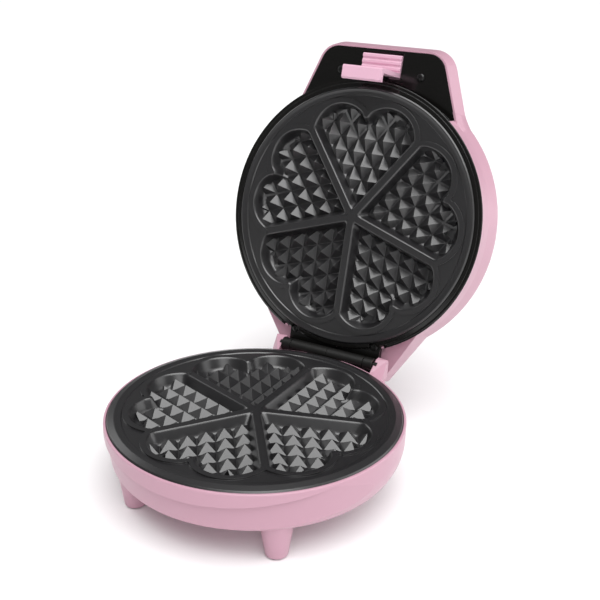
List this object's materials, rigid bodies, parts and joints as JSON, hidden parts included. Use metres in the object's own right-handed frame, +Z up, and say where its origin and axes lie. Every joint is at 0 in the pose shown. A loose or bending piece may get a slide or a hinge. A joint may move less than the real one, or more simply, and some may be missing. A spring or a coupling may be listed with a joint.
{
  "type": "waffle maker",
  "caption": "Round waffle maker with its lid open: pink shell, two dark plates of five hearts each, a handle with a spring latch, and a rear hinge.",
  "frame": {"origin": "on the table, under the middle of the round base", "axes": "+Z up; -Y towards the handle at the front; the hinge lies along X at +Y"},
  "size_m": [0.2048, 0.2981, 0.27],
  "materials": {
    "pink_plastic": "satin gloss",
    "black_plastic": "gloss",
    "coating": "non-stick coating, satin",
    "aluminium": "bare",
    "steel": "bare",
    "rubber": "matt",
    "ceramic": "matt",
    "red_lens": "clear",
    "green_lens": "clear"
  },
  "bodies": {
    "base": {"base_shell": "pink_plastic", "bottom_cover": "pink_plastic", "cover_screws": "steel", "foot_pads": "rubber", "lower_plate": "coating", "lower_plate_screws": "steel", "lower_element": "steel", "lower_clamp_bar": "steel", "lower_reflector": "steel", "lower_clamp_screw": "steel", "thermostat": "ceramic", "thermal_fuse": "steel", "fuse_strap": "steel", "terminal_block": "ceramic", "cord_gland": "rubber", "cord_clamp": "ceramic", "cord_clamp_screws": "steel", "base_hinge": "black_plastic", "base_hinge_screws": "steel", "hinge_pin": "steel"},
    "lid": {"lid_shell": "pink_plastic", "lid_liner": "black_plastic", "liner_screws": "steel", "lid_hinge": "black_plastic", "lid_hinge_screws": "steel", "upper_plate": "coating", "upper_plate_screws": "steel", "upper_element": "steel", "upper_clamp_bar": "steel", "upper_reflector": "aluminium", "upper_clamp_screw": "steel", "lamp_holder": "ceramic", "power_lens": "red_lens", "ready_lens": "green_lens", "latch_pin": "steel", "latch_spring": "steel"},
    "latch": {"latch": "pink_plastic"}
  },
  "joints": [
    {"name": "lid_hinge_joint", "type": "hinge", "parent": "base", "child": "lid", "pos_m": [0, 0.1033, 0.0549], "axis": [1, 0, 0], "range_deg": [0, 105.2]},
    {"name": "latch_pivot", "type": "hinge", "parent": "lid", "child": "latch", "pos_m": [0, 0.18118, 0.25001], "axis": [-1, 0, 0], "range_deg": [0, 9], "stiffness_Nm_per_rad": 0.15, "springref_deg": -20.05}
  ]
}
